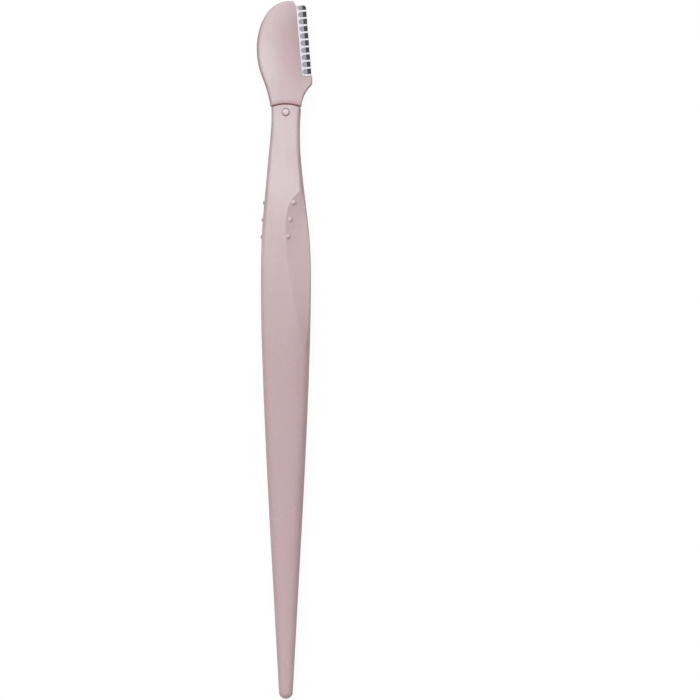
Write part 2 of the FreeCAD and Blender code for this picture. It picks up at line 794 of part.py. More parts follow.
def make_blade_head():
    body = new_body("blade_head")
    lift(body)
    extrude(body, "Pad", "head_blank", head_outline(body), head_blank, both_ways=True)

    def horn_corner(edge):
        upright = abs(edge.tangentAt(edge.FirstParameter).z) > 0.9
        return upright and abs(edge.Vertexes[0].X - SIZES["horn_reach"]) < 1e-3

    fillet(body, "horn_corners", size("outline_round"), horn_corner)
    shape_faces(body)
    doc.recompute()
    heel = point(*blade_spot(-size("blade_exposure"), 0))

    def middle_of(edge):
        return edge.valueAt((edge.FirstParameter + edge.LastParameter) / 2)

    def across_face(edge):
        return abs(edge.tangentAt((edge.FirstParameter + edge.LastParameter) / 2).z) < 0.5

    def back_edge(edge):
        middle = middle_of(edge)
        above_seam = middle.y > SIZES["seam_reach"] + SIZES["seam_gap"]
        return above_seam and across_face(edge) and middle.x < SIZES["crown_side"] + SIZES["tip_flat"] / 2

    def horn_edge(edge):
        middle = middle_of(edge)
        on_right = middle.x > SIZES["shank_width"] / 2 + 0.02
        return across_face(edge) and on_right and SIZES["seam_reach"] < middle.y < heel.y - 0.3

    fillet(body, "back_round", tip_edge * size("back_round_share"), back_edge)
    fillet(body, "horn_round", size("horn_round"), horn_edge)
    cut_blade_seat(body)
    add_seam_core(body)
    add_tenon(body)
    return body


def cut_blade_seat(body):
    """The slot that the blade and its guard are moulded into, with a post through each anchor hole."""
    play = size("blade_clearance")
    frame = {"shift": (size("heel_side"), heel_y, 0), "angle": tilt}
    blade_sketch = new_sketch(body, "blade_slot_sketch", "XY_Plane", **frame)
    rectangle(blade_sketch, -size("blade_width") - play, 0, -play, size("blade_length") + play)
    blade_slot = size("blade_thickness") + play * 2
    extrude(body, "Pocket", "blade_slot", blade_sketch, blade_slot, both_ways=True)
    guard_sketch = new_sketch(body, "guard_slot_sketch", "XY_Plane", **frame)
    guard_depth = size("blade_exposure") + size("guard_hold") + play
    rectangle(guard_sketch, -guard_depth, 0, -play, size("blade_length") + play)
    guard_slot_width = size("blade_thickness") + (size("foil_play") + size("foil_thickness") + play) * 2
    extrude(body, "Pocket", "guard_slot", guard_sketch, guard_slot_width, both_ways=True)
    posts = new_sketch(body, "anchor_posts_sketch", "XY_Plane", **frame)
    for hole_x, hole_y in anchor_spots():
        circle(posts, hole_x, hole_y, size("anchor_diameter") - play * 2)
    extrude(body, "Pad", "anchor_posts", posts, blade_slot * 2, both_ways=True)


def add_seam_core(body):
    """The shoulder of the tenon, which closes the seam behind its groove."""
    sketch = new_sketch(body, "seam_core_sketch", "XY_Plane")
    half = size("shank_width") / 2 - size("seam_core_inset")
    arch(sketch, half, size("seam_radius") + size("fit_clearance"), rim_y)
    extrude(body, "Pad", "seam_core", sketch, size("tenon_thickness"), both_ways=True)


def add_tenon(body):
    """The tenon below the seam, slotted for the sprung tongue."""
    sketch = new_sketch(body, "tenon_sketch", "XZ_Plane", shift=(0, 0, -rim_y))
    half_width = size("tenon_width") / 2
    half_thickness = size("tenon_thickness") / 2
    rectangle(sketch, -half_width, half_width, -half_thickness, half_thickness)
    extrude(body, "Pad", "tenon", sketch, size("rim_overrun") + size("tenon_length"))
    nose_y = SIZES["seam_reach"] - SIZES["tenon_length"]

    def nose_edge(edge):
        return all(abs(vertex.Y - nose_y) < 1e-3 for vertex in edge.Vertexes)

    dress(body, "Chamfer", "tenon_nose", "Size", size("tenon_nose"), nose_edge)
    slot = new_sketch(body, "tongue_slot_sketch", "YZ_Plane")
    seat = size("tongue_root_radius") + size("fit_clearance")
    slope = sine(size("press_angle")) / cosine(size("press_angle"))
    floor = tongue_back - size("tongue_floor_clearance")
    slot_end = nub_y + size("tongue_end") + size("tongue_end_clearance")
    end_floor = floor - (slot_end - hinge_y) * slope
    top = size("tenon_thickness")
    hinge = point(hinge_y, hinge_z)
    depth = hinge_z.value - floor.value
    grade = slope.value
    spread = math.sqrt((1 + grade**2) * seat.value**2 - depth**2)
    lip_step = (spread - depth * grade) / (1 + grade**2)
    lip = hinge + Vector(lip_step, -depth - grade * lip_step, 0)
    seat_side = hinge - Vector(seat.value, 0, 0)
    seat_arc = arc(slot, hinge, seat_side, lip)
    ramp = line(slot, point(slot_end, end_floor), lip)
    end_wall = line(slot, point(slot_end, end_floor), point(slot_end, top))
    lid = line(slot, point(slot_end, top), Vector(seat_side.x, top.value, 0))
    root_wall = line(slot, Vector(seat_side.x, top.value, 0), seat_side)
    rule(slot, "Coincident", seat_arc, END, ramp, END)
    rule(slot, "Coincident", ramp, START, end_wall, START)
    rule(slot, "Coincident", end_wall, END, lid, START)
    rule(slot, "Coincident", lid, END, root_wall, START)
    rule(slot, "Tangent", root_wall, END, seat_arc, START)
    rule(slot, "Vertical", root_wall)
    rule(slot, "Vertical", end_wall)
    rule(slot, "Horizontal", lid)
    dimension(slot, "Radius", seat_arc, seat)
    place(slot, seat_arc, CENTRE, x=hinge_y, y=hinge_z)
    place(slot, end_wall, START, x=slot_end, y=end_floor)
    place(slot, end_wall, END, y=top)
    dimension(slot, "Angle", ramp, as_size(180) - size("press_angle"))
    slot_width = size("tongue_width") + size("fit_clearance") * 2
    extrude(body, "Pocket", "tongue_slot", slot, slot_width, both_ways=True)


# Sprung tongue

def make_snap_tongue():
    """A flat spring with a round root in the tenon and the locking nub near its free end."""
    body = new_body("snap_tongue")
    lift(body)
    sketch = new_sketch(body, "tongue_side", "YZ_Plane")
    root = size("tongue_root_radius")
    free_end = nub_y + size("tongue_end")
    hinge = point(hinge_y, hinge_z)
    depth = hinge_z.value - tongue_back.value
    heel = hinge + Vector(math.sqrt(root.value**2 - depth**2), -depth, 0)
    crest = hinge + Vector(0, root.value, 0)
    front = line(sketch, point(free_end, tongue_front), crest)
    round_root = arc(sketch, hinge, crest, heel)
    back = line(sketch, heel, point(free_end, tongue_back))
    end = line(sketch, point(free_end, tongue_back), point(free_end, tongue_front))
    rule(sketch, "Tangent", front, END, round_root, START)
    rule(sketch, "Coincident", round_root, END, back, START)
    rule(sketch, "Coincident", back, END, end, START)
    rule(sketch, "Coincident", end, END, front, START)
    rule(sketch, "Horizontal", front)
    rule(sketch, "Horizontal", back)
    rule(sketch, "Vertical", end)
    dimension(sketch, "Radius", round_root, root)
    place(sketch, round_root, CENTRE, x=hinge_y, y=hinge_z)
    place(sketch, end, START, x=free_end, y=tongue_back)
    extrude(body, "Pad", "tongue_plate", sketch, size("tongue_width"), both_ways=True)
    nub = new_sketch(body, "nub_sketch", "XY_Plane", shift=(0, 0, hinge_z))
    circle(nub, 0, nub_y, size("nub_diameter"))
    nub_top = size("neck_thickness") / 2 + size("nub_rise")
    extrude(body, "Pad", "nub", nub, nub_top - hinge_z)

    def nub_rim(edge):
        return all(abs(vertex.Z - nub_top.value) < 1e-3 for vertex in edge.Vertexes)

    fillet(body, "nub_round", size("nub_round"), nub_rim)
    return body


# Blade and guard

def set_on_blade_frame(body):
    """Stand a body on the blade's own axes: out from the cutting edge, along it, and through it."""
    body.Placement = Placement(Vector(0, 0, 0), Rotation(Vector(0, 0, 1), tilt.value))
    body.setExpression("Placement.Base.x", size("heel_side").text)
    body.setExpression("Placement.Base.y", heel_y.text)
    body.setExpression("Placement.Base.z", rest_height.text)
    body.setExpression("Placement.Rotation.Angle", tilt.text)


def anchor_spots():
    """Centres of the anchor holes, in the blade's axes."""
    hole_x = size("anchor_inset") - size("blade_width")
    first = size("anchor_first")
    return [(hole_x, first), (hole_x, first + size("anchor_spacing"))]


def make_blade():
    body = new_body("blade")
    set_on_blade_frame(body)
    sketch = new_sketch(body, "blade_section", "XZ_Plane")
    half = size("blade_thickness") / 2
    edge = size("edge_thickness") / 2
    shoulder = -size("bevel_width")
    spine = -size("blade_width")
    polygon(
        sketch,
        [(spine, -half), (shoulder, -half), (0, -edge), (0, edge), (shoulder, half), (spine, half)],
    )
    length = size("blade_length")
    extrude(body, "Pad", "blade_strip", sketch, length, reverse=True)
    holes = new_sketch(body, "anchor_holes_sketch", "XY_Plane")
    for hole_x, hole_y in anchor_spots():
        circle(holes, hole_x, hole_y, size("anchor_diameter"))
    extrude(body, "Pocket", "anchor_holes", holes, size("blade_thickness") * 2, both_ways=True)

    corner = new_sketch(body, "tip_corner_sketch", "XY_Plane")
    radius = size("blade_tip_round")
    centre = point(-radius, length - radius)
    out = point(0, length - radius)
    up = point(-radius, length)
    far = point(radius, length + radius)
    rounding = arc(corner, centre, out, up)
    rise = line(corner, up, Vector(up.x, far.y, 0))
    lid = line(corner, Vector(up.x, far.y, 0), far)
    wall = line(corner, far, Vector(far.x, out.y, 0))
    back = line(corner, Vector(far.x, out.y, 0), out)
    chain = [rounding, rise, lid, wall, back]
    for i, item in enumerate(chain):
        rule(corner, "Coincident", item, END, chain[(i + 1) % len(chain)], START)
    for item in (rise, wall):
        rule(corner, "Vertical", item)
    for item in (lid, back):
        rule(corner, "Horizontal", item)
    dimension(corner, "Radius", rounding, radius)
    place(corner, rounding, CENTRE, x=-radius, y=length - radius)
    rule(corner, "Horizontal", rounding, CENTRE, rounding, START)
    rule(corner, "Vertical", rounding, CENTRE, rounding, END)
    place(corner, lid, END, x=radius, y=length + radius)
    extrude(body, "Pocket", "tip_corner", corner, size("blade_thickness") * 2, both_ways=True)
    return body


def make_blade_guard():
    """A thin foil folded over the cutting edge, with slots that let the edge through."""
    body = new_body("blade_guard")
    set_on_blade_frame(body)
    sketch = new_sketch(body, "foil_section", "XZ_Plane")
    inner = size("blade_thickness") / 2 + size("foil_play")
    outer = inner + size("foil_thickness")
    leg = -size("blade_exposure") - size("guard_hold")
    fold = -size("guard_nose")
    fold_centre = point(fold, 0)
    outside = arc(sketch, fold_centre, point(fold, -outer), point(fold, outer))
    front_leg = line(sketch, point(fold, outer), point(leg, outer))
    front_end = line(sketch, point(leg, outer), point(leg, inner))
    front_inside = line(sketch, point(leg, inner), point(fold, inner))
    inside = arc(sketch, fold_centre, point(fold, -inner), point(fold, inner))
    back_inside = line(sketch, point(fold, -inner), point(leg, -inner))
    back_end = line(sketch, point(leg, -inner), point(leg, -outer))
    back_leg = line(sketch, point(leg, -outer), point(fold, -outer))
    rule(sketch, "Tangent", outside, END, front_leg, START)
    rule(sketch, "Coincident", front_leg, END, front_end, START)
    rule(sketch, "Coincident", front_end, END, front_inside, START)
    rule(sketch, "Tangent", front_inside, END, inside, END)
    rule(sketch, "Tangent", inside, START, back_inside, START)
    rule(sketch, "Coincident", back_inside, END, back_end, START)
    rule(sketch, "Coincident", back_end, END, back_leg, START)
    rule(sketch, "Tangent", back_leg, END, outside, START)
    for item in (front_leg, front_inside, back_inside, back_leg):
        rule(sketch, "Horizontal", item)
    for item in (front_end, back_end):
        rule(sketch, "Vertical", item)
    dimension(sketch, "Radius", outside, outer)
    dimension(sketch, "Radius", inside, inner)
    for item in (outside, inside):
        rule(sketch, "PointOnObject", item, CENTRE, X_AXIS)
        place(sketch, item, CENTRE, x=fold)
    place(sketch, front_end, START, x=leg)
    place(sketch, back_end, START, x=leg)
    extrude(body, "Pad", "foil", sketch, guard_length, reverse=True)

    slot = new_sketch(body, "slot_sketch", "XY_Plane")
    middle = size("guard_bar") + slot_height / 2
    radius = slot_height / 2
    slot_back = size("guard_strip") - size("blade_exposure") + radius
    slot_front = size("guard_strip")
    centre = point(slot_back, middle)
    low = size("guard_bar")
    high = size("guard_bar") + slot_height
    round_end = arc(slot, centre, point(slot_back, high), point(slot_back, low))
    low_side = line(slot, point(slot_back, low), point(slot_front, low))
    mouth = line(slot, point(slot_front, low), point(slot_front, high))
    high_side = line(slot, point(slot_front, high), point(slot_back, high))
    rule(slot, "Tangent", round_end, END, low_side, START)
    rule(slot, "Coincident", low_side, END, mouth, START)
    rule(slot, "Coincident", mouth, END, high_side, START)
    rule(slot, "Tangent", high_side, END, round_end, START)
    rule(slot, "Horizontal", low_side)
    rule(slot, "Horizontal", high_side)
    rule(slot, "Vertical", mouth)
    dimension(slot, "Radius", round_end, radius)
    place(slot, round_end, CENTRE, x=slot_back, y=middle)
    place(slot, mouth, START, x=slot_front)
    cut = extrude(body, "Pocket", "guard_slot", slot, outer * 4, both_ways=True)
    pattern = body.newObject("PartDesign::LinearPattern", "guard_slots")
    pattern.Originals = [cut]
    pattern.Direction = (origin_feature(body, "Y_Axis"), [""])
    pattern.Mode = "Spacing"
    pattern.Offset = guard_pitch.value
    pattern.setExpression("Offset", guard_pitch.text)
    pattern.Occurrences = SIZES["guard_slot_count"]
    pattern.setExpression("Occurrences", "Sizes.guard_slot_count")
    body.Tip = pattern
    return body


bodies = [make_handle(), make_blade_head(), make_snap_tongue(), make_blade(), make_blade_guard()]
doc.recompute()

failed = [item.Name for item in doc.Objects if "Invalid" in item.State or "Error" in item.State]
if failed:
    raise RuntimeError(f"these features failed: {failed}")
for body in bodies:
    shape = body.Shape
    if shape.isNull() or not shape.isValid() or len(shape.Solids) != 1:
        raise RuntimeError(f"{body.Label} is not one valid solid")
for body in bodies:
    body.Shape.exportStep(f"parts/{body.Label}.step")
    print(body.Label, round(body.Shape.Volume, 3), "mm3", body.Shape.BoundBox)
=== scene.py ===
import math

import bpy
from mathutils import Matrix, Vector


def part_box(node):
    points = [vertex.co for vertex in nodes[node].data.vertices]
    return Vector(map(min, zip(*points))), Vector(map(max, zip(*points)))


# Eyebrow razor, lying on its back: +Y runs to the head, +X to the cutting edge, +Z to the front.
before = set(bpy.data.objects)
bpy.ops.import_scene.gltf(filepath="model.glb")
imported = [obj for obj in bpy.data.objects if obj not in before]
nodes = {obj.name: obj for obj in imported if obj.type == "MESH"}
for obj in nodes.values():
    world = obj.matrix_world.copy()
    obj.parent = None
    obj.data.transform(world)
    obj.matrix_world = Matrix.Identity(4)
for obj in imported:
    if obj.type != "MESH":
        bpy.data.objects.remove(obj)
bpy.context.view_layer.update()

MM = 0.001

# Places on the razor
_, handle_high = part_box("handle")
blade_low, blade_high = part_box("blade")
MIDDLE_Z = (blade_low.z + blade_high.z) / 2
SEAM_RADIUS = 9.0 * MM
SEAM_GAP = 0.3 * MM
SEAM_CENTRE = Vector((0.0, handle_high.y - SEAM_RADIUS, MIDDLE_Z))
NUB_Y = 40.4 * MM

# The blade's own axes: out from the cutting edge, along it from the heel
BLADE_TILT = math.radians(4.6)
BLADE_WIDTH = 5.4 * MM
BLADE_EXPOSURE = 2.1 * MM
BEVEL_WIDTH = 0.8 * MM
BLADE_HEEL = Vector((blade_high.x, blade_low.y + BLADE_WIDTH * math.sin(BLADE_TILT), MIDDLE_Z))

# Colours, linear
PINK = (0.57, 0.440, 0.460, 1.0)
PINK_DEEP = (0.52, 0.375, 0.395, 1.0)
PINK_PALE = (0.67, 0.570, 0.590, 1.0)
PINK_FLECK = (0.80, 0.730, 0.735, 1.0)
# Painted light: the nub's highlight and the light walls of the nub and its window
PINK_NUB_HIGHLIGHT = (0.72, 0.625, 0.640, 1.0)
NUB_WALL_LIGHT = (0.86, 0.760, 0.772, 1.0)
# Painted shade: edges turned from the light, the thumb rest, the shaft's side, the seam's groove and the head
# just above it
PINK_EDGE_SHADE = (0.37, 0.245, 0.272, 1.0)
HEAD_EDGE_SHADE = (0.34, 0.250, 0.275, 1.0)
PINK_SHADE = (0.46, 0.315, 0.335, 1.0)
SEAM_GROOVE_SHADE = (0.42, 0.225, 0.235, 1.0)
SEAM_BLUSH_SHADE = (0.47, 0.295, 0.310, 1.0)
STEEL = (0.31, 0.31, 0.335, 1.0)
# Painted reflection: the bevel's dark mirror image, set in its colour
STEEL_BEVEL_DARK_REFLECTION = (0.018, 0.018, 0.021, 1.0)
FOIL = (0.75, 0.75, 0.80, 1.0)
FOIL_WORN = (0.68, 0.68, 0.73, 1.0)
FLOOR_GREY = (0.60, 0.60, 0.60, 1.0)
WHITE = (1.0, 1.0, 1.0, 1.0)


# Node helpers

# Colour sockets of the Mix node, which has a set of sockets for each kind of data
MIX_SHARE, MIX_FIRST, MIX_SECOND = 0, 6, 7
MIX_RESULT = 2


def fill_inputs(tree, node, values):
    """Link or set a node's inputs, by name or number."""
    for key, value in values.items():
        if isinstance(value, bpy.types.NodeSocket):
            tree.links.new(value, node.inputs[key])
        else:
            node.inputs[key].default_value = value


def add_node(tree, kind, values=None, **settings):
    """A node with its settings, and values or links for its inputs."""
    node = tree.nodes.new(kind)
    for name, setting in settings.items():
        setattr(node, name, setting)
    fill_inputs(tree, node, values or {})
    return node


def math_node(tree, operation, *values):
    """One step of arithmetic."""
    return add_node(tree, "ShaderNodeMath", dict(enumerate(values)), operation=operation).outputs["Value"]


def multiply(tree, product, *factors):
    """The product of two or more values."""
    for factor in factors:
        product = math_node(tree, "MULTIPLY", product, factor)
    return product


def remap(tree, value, low, high, to_low=0.0, to_high=1.0):
    """Ease a value from one range to another, held at the ends."""
    limits = {"Value": value, "From Min": low, "From Max": high, "To Min": to_low, "To Max": to_high}
    return add_node(tree, "ShaderNodeMapRange", limits, interpolation_type="SMOOTHSTEP").outputs["Result"]


def mix_colour(tree, share, first, second):
    """Two colours mixed, with a share of the second."""
    values = {MIX_SHARE: share, MIX_FIRST: first, MIX_SECOND: second}
    return add_node(tree, "ShaderNodeMix", values, data_type="RGBA").outputs[MIX_RESULT]


def noise(tree, vector, scale, detail=2.0):
    """Smooth noise, 0 to 1."""
    values = {"Vector": vector, "Scale": scale, "Detail": detail}
    return add_node(tree, "ShaderNodeTexNoise", values).outputs["Fac"]


def stretch(tree, vector, scale):
    """A vector scaled along each axis."""
    return add_node(tree, "ShaderNodeMapping", {"Vector": vector, "Scale": scale}).outputs["Vector"]


def split(tree, vector):
    """The X, Y and Z of a vector."""
    return add_node(tree, "ShaderNodeSeparateXYZ", {"Vector": vector}).outputs


def object_place(tree):
    """The place on the piece, in its own axes."""
    return add_node(tree, "ShaderNodeTexCoord").outputs["Object"]


def facing(tree, axis):
    """How far the surface faces along one axis of its piece, -1 to 1."""
    return split(tree, add_node(tree, "ShaderNodeTexCoord").outputs["Normal"])[axis]


def seen_as_backdrop(tree):
    """1 for rays from the camera, and for those that metal or glass sends on, else 0."""
    path = add_node(tree, "ShaderNodeLightPath").outputs
    bounced = math_node(tree, "MAXIMUM", path["Is Glossy Ray"], path["Is Transmission Ray"])
    return math_node(tree, "MAXIMUM", path["Is Camera Ray"], bounced)


def new_group(name, inputs, outputs):
    """An empty node group with named sockets, and its two ends."""
    group = bpy.data.node_groups.new(name, "ShaderNodeTree")
    for label, kind in inputs:
        group.interface.new_socket(label, in_out="INPUT", socket_type=kind)
    for label, kind in outputs:
        group.interface.new_socket(label, in_out="OUTPUT", socket_type=kind)
    entry = group.nodes.new("NodeGroupInput")
    result = group.nodes.new("NodeGroupOutput")
    return group, entry.outputs, result


def use_group(tree, group, values=None):
    """A node that uses a group."""
    return add_node(tree, "ShaderNodeGroup", values, node_tree=group)


def new_material(name):
    """A material with its node tree and shader."""
    material = bpy.data.materials.new(name)
    material.use_nodes = True
    tree = material.node_tree
    return material, tree, tree.nodes["Principled BSDF"]


# Shared effects

DRIFT_SCALE = 110.0
DRIFT_WEIGHT = 0.7
DRIFT_LIMITS = (0.38, 0.66)
DRIFT_SHARE = 0.35
STREAK_SCALE = 700.0
STREAK_STRETCH = (1.0, 0.12, 1.0)
STREAK_WEIGHT = 0.3
FLECK_SCALE = 2300.0
FLECK_SPREAD = 1.0
FLECK_SIZE = (0.15, 0.45)
FLECK_PATCH_SCALE = 260.0
FLECK_PATCH_LIMITS = (0.40, 0.62)
FLECK_THIN_SHARE = 0.25
PALE_FLECK_CELLS = (0.72, 0.86)
PALE_FLECK_SHARE = 0.27
DARK_FLECK_CELLS = (0.80, 0.92)
DARK_FLECK_SHARE = 0.30
EDGE_SHADE_FACING = (0.99, 0.72)
PARTING_WIDTH = (0.02 * MM, 0.07 * MM)
PARTING_SHARE = 0.35
GRAIN_SCALE = 5200.0
GRAIN_LIMITS = (0.3, 0.7)
PLASTIC_ROUGHNESS = (0.44, 0.54)


def make_moulded_plastic():
    """Pigmented moulding: colour drift, flow streaks, flecks, painted shade on edges that turn from the front
    and back, mould grain, a parting line.
    """
    group, entry, result = new_group(
        "moulded_plastic",
        [
            ("Tone", "NodeSocketColor"),
            ("Deep Tone", "NodeSocketColor"),
            ("Fleck Tone", "NodeSocketColor"),
            ("Edge Shade Tone", "NodeSocketColor"),
            ("Edge Shade Share", "NodeSocketFloat"),
        ],
        [("Color", "NodeSocketColor"), ("Roughness", "NodeSocketFloat"), ("Height", "NodeSocketFloat")],
    )
    place = object_place(group)
    drift = noise(group, place, DRIFT_SCALE, detail=3.0)
    streaks = noise(group, stretch(group, place, STREAK_STRETCH), STREAK_SCALE, detail=3.0)
    weighed_drift = multiply(group, drift, DRIFT_WEIGHT)
    weighed_streaks = multiply(group, streaks, STREAK_WEIGHT)
    depth = math_node(group, "ADD", weighed_drift, weighed_streaks)
    drifted = mix_colour(group, DRIFT_SHARE, entry["Tone"], entry["Deep Tone"])
    tone = mix_colour(group, remap(group, depth, *DRIFT_LIMITS), entry["Tone"], drifted)

    cell_values = {"Vector": place, "Scale": FLECK_SCALE, "Randomness": FLECK_SPREAD}
    cells = add_node(group, "ShaderNodeTexVoronoi", cell_values)
    spot = remap(group, cells.outputs["Distance"], *FLECK_SIZE, 1.0, 0.0)
    chosen = add_node(group, "ShaderNodeSeparateColor", {"Color": cells.outputs["Color"]})
    thick = remap(group, noise(group, place, FLECK_PATCH_SCALE), *FLECK_PATCH_LIMITS, FLECK_THIN_SHARE, 1.0)
    pale_cell = remap(group, chosen.outputs["Red"], *PALE_FLECK_CELLS, 0.0, PALE_FLECK_SHARE)
    dark_cell = remap(group, chosen.outputs["Green"], *DARK_FLECK_CELLS, 0.0, DARK_FLECK_SHARE)
    tone = mix_colour(group, multiply(group, spot, pale_cell, thick), tone, entry["Fleck Tone"])
    tone = mix_colour(group, multiply(group, spot, dark_cell, thick), tone, entry["Deep Tone"])

    # Painted shade where the surface turns from the front and back, as its edges turn from the light
    sideways_shade = remap(group, math_node(group, "ABSOLUTE", facing(group, "Z")), *EDGE_SHADE_FACING)
    tone = mix_colour(group, multiply(group, sideways_shade, entry["Edge Shade Share"]), tone, entry["Edge Shade Tone"])

    above_line = math_node(group, "SUBTRACT", split(group, place)["Z"], MIDDLE_Z)
    parting = remap(group, math_node(group, "ABSOLUTE", above_line), *PARTING_WIDTH, 1.0, 0.0)
    tone = mix_colour(group, multiply(group, parting, PARTING_SHARE), tone, entry["Deep Tone"])

    grain = noise(group, place, GRAIN_SCALE, detail=4.0)
    roughness = remap(group, grain, *GRAIN_LIMITS, *PLASTIC_ROUGHNESS)
    height = math_node(group, "ADD", grain, parting)
    fill_inputs(group, result, {"Color": tone, "Roughness": roughness, "Height": height})
    return group


LINE_STRETCH = (0.06, 1.0, 0.06)
LINE_SCALE = 14.0


def make_blade_axes():
    """Millimetres out from the cutting edge and along it, with fine lines ground across it."""
    group, _, result = new_group(
        "blade_axes",
        [],
        [("Out", "NodeSocketFloat"), ("Along", "NodeSocketFloat"), ("Lines", "NodeSocketFloat")],
    )
    blade_frame = {"Location": BLADE_HEEL, "Rotation": (0, 0, BLADE_TILT), "Scale": (MM, MM, MM)}
    turned = add_node(
        group, "ShaderNodeMapping", {"Vector": object_place(group), **blade_frame}, vector_type="TEXTURE"
    ).outputs["Vector"]
    axes = split(group, turned)
    lines = noise(group, stretch(group, turned, LINE_STRETCH), LINE_SCALE, detail=3.0)
    fill_inputs(group, result, {"Out": axes["X"], "Along": axes["Y"], "Lines": lines})
    return group


# Width of the painted shade in the seam's groove
GROOVE_CORE = 0.4 * SEAM_GAP
FLAT = (1.0, 1.0, 0.0)


def make_seam_groove():
    """The groove between handle and head as a mask, and millimetres from its middle, positive in the head."""
    group, _, result = new_group(
        "seam_groove", [], [("Mask", "NodeSocketFloat"), ("Reach", "NodeSocketFloat")]
    )
    off_centre = add_node(
        group, "ShaderNodeVectorMath", {0: object_place(group), 1: SEAM_CENTRE}, operation="SUBTRACT"
    ).outputs["Vector"]
    flat = add_node(group, "ShaderNodeVectorMath", {0: off_centre, 1: FLAT}, operation="MULTIPLY")
    radius = add_node(group, "ShaderNodeVectorMath", {0: flat.outputs["Vector"]}, operation="LENGTH")
    past_middle = math_node(group, "SUBTRACT", radius.outputs["Value"], SEAM_RADIUS + SEAM_GAP / 2)
    # The other half of the circle is put a metre away
    behind = math_node(group, "LESS_THAN", split(group, off_centre)["Y"], 0.0)
    from_middle = math_node(group, "SUBTRACT", past_middle, behind)
    mask = remap(group, math_node(group, "ABSOLUTE", from_middle), GROOVE_CORE, SEAM_GAP, 1.0, 0.0)
    fill_inputs(group, result, {"Mask": mask, "Reach": math_node(group, "DIVIDE", from_middle, MM)})
    return group


BEVEL_SAMPLES = 8
ROLL_REACH = 1.4 * MM
ROLL_FACING = (0.995, 0.86)


def make_rolled_edge():
    """Where a face comes near a side of its piece, as a mask that is full at the edge."""
    group, entry, result = new_group(
        "rolled_edge", [("Reach", "NodeSocketFloat")], [("Mask", "NodeSocketFloat")]
    )
    rounded = add_node(group, "ShaderNodeBevel", {"Radius": entry["Reach"]}, samples=BEVEL_SAMPLES)
    own_normal = add_node(
        group,
        "ShaderNodeVectorTransform",
        {"Vector": rounded.outputs["Normal"]},
        vector_type="NORMAL",
        convert_from="WORLD",
        convert_to="OBJECT",
    ).outputs["Vector"]
    upright = math_node(group, "ABSOLUTE", split(group, own_normal)["Z"])
    fill_inputs(group, result, {"Mask": remap(group, upright, *ROLL_FACING)})
    return group


MOULDED_PLASTIC = make_moulded_plastic()
ROLLED_EDGE = make_rolled_edge()
SEAM_GROOVE = make_seam_groove()
BLADE_AXES = make_blade_axes()


# Finishes in plastic

# How much painted shade the edges get
EDGE_SHADE_SHARE = 0.6
EDGE_ROUNDING = 0.25 * MM
GRAIN_STRENGTH = 0.12
GRAIN_DEPTH = 0.03 * MM
PLASTIC_BODY = {
    "IOR": 1.45,
    "Subsurface Weight": 0.25,
    "Subsurface Radius": (1.0, 0.5, 0.45),
    "Subsurface Scale": 0.5 * MM,
}


def pink_plastic(name):
    """Satin pink moulding with painted shade darkening the seam's groove, its tone left open, with
    millimetres from the seam.
    """
    material, tree, shader = new_material(name)
    tones = {"Tone": PINK, "Deep Tone": PINK_DEEP, "Fleck Tone": PINK_FLECK, "Edge Shade Tone": PINK_EDGE_SHADE}
    moulding = use_group(tree, MOULDED_PLASTIC, {**tones, "Edge Shade Share": EDGE_SHADE_SHARE})
    edges = add_node(tree, "ShaderNodeBevel", {"Radius": EDGE_ROUNDING}, samples=BEVEL_SAMPLES)
    relief = {"Height": moulding.outputs["Height"], "Strength": GRAIN_STRENGTH, "Distance": GRAIN_DEPTH}
    bump = add_node(tree, "ShaderNodeBump", {**relief, "Normal": edges.outputs["Normal"]})
    seam = use_group(tree, SEAM_GROOVE)
    # Painted shade: a reddish-brown line darkening the groove between handle and head
    tone = mix_colour(tree, seam.outputs["Mask"], moulding.outputs["Color"], SEAM_GROOVE_SHADE)
    surface = {
        "Base Color": tone,
        "Roughness": moulding.outputs["Roughness"],
        "Normal": bump.outputs["Normal"],
    }
    fill_inputs(tree, shader, {**surface, **PLASTIC_BODY})
    return material, tree, moulding, seam.outputs["Reach"]


# The handle's tones, with its painted light and shade, by places along and across it
# Painted sheen, lightest at the neck, and painted shade darkening from the belly to the tail, as the light
# falls from the head's end
NECK_SHEEN = (2.0 * MM, 30.0 * MM)
NECK_SHEEN_SHARE = 0.82
TAIL_SHADE = (12.0 * MM, -16.0 * MM)
# Painted shade in the thumb rest, whose floor turns away from the light
REST_FACING = (0.12, 0.24)
REST_SLANT = 1.5
REST_BELOW = (4.0 * MM, 17.0 * MM)
REST_ABOVE = (27.0 * MM, 24.0 * MM)
REST_SHADE_SHARE = 0.55
# Painted shade on the shaft's right side, away from the light
SHAFT_SIDE = (0.5 * MM, 4.5 * MM)
SHAFT_START = (5.0 * MM, -12.0 * MM)
# Painted shade in bands along the neck's rounded edges, stronger on the right
NECK_OFF_MIDDLE = (1.3 * MM, 1.9 * MM)
NECK_START = (25.0 * MM, 30.0 * MM)
NECK_ACROSS = (-1.0 * MM, 1.0 * MM)
NECK_EDGE_SHADE_SHARES = (0.18, 0.36)
# Painted light on the walls of the nub's window, lightening the dark gap around the nub
WALL_FACING = (0.7, 0.4)
WINDOW_MIDDLE = (0.5, 0.0)
WINDOW_BELOW = (NUB_Y - 0.3 * MM, NUB_Y + 0.3 * MM)
WINDOW_ABOVE = (NUB_Y + 1.6 * MM, NUB_Y + 1.3 * MM)
# Where the painted edge shade is left off the neck's middle, and how it fades towards the tail
PLAIN_STRIP = (2.9 * MM, 2.5 * MM)
PLAIN_START = (-2.0 * MM, 2.0 * MM)
TAIL_EDGE_SHADE_FADE = (20.0 * MM, 8.0 * MM)
TAIL_EDGE_SHADE_SHARE = 0.08

# The painted highlight on the rim under the seam, in millimetres from it
RIM_REACH = (-0.7, -0.3)
RIM_HIGHLIGHT_SHARE = 0.35


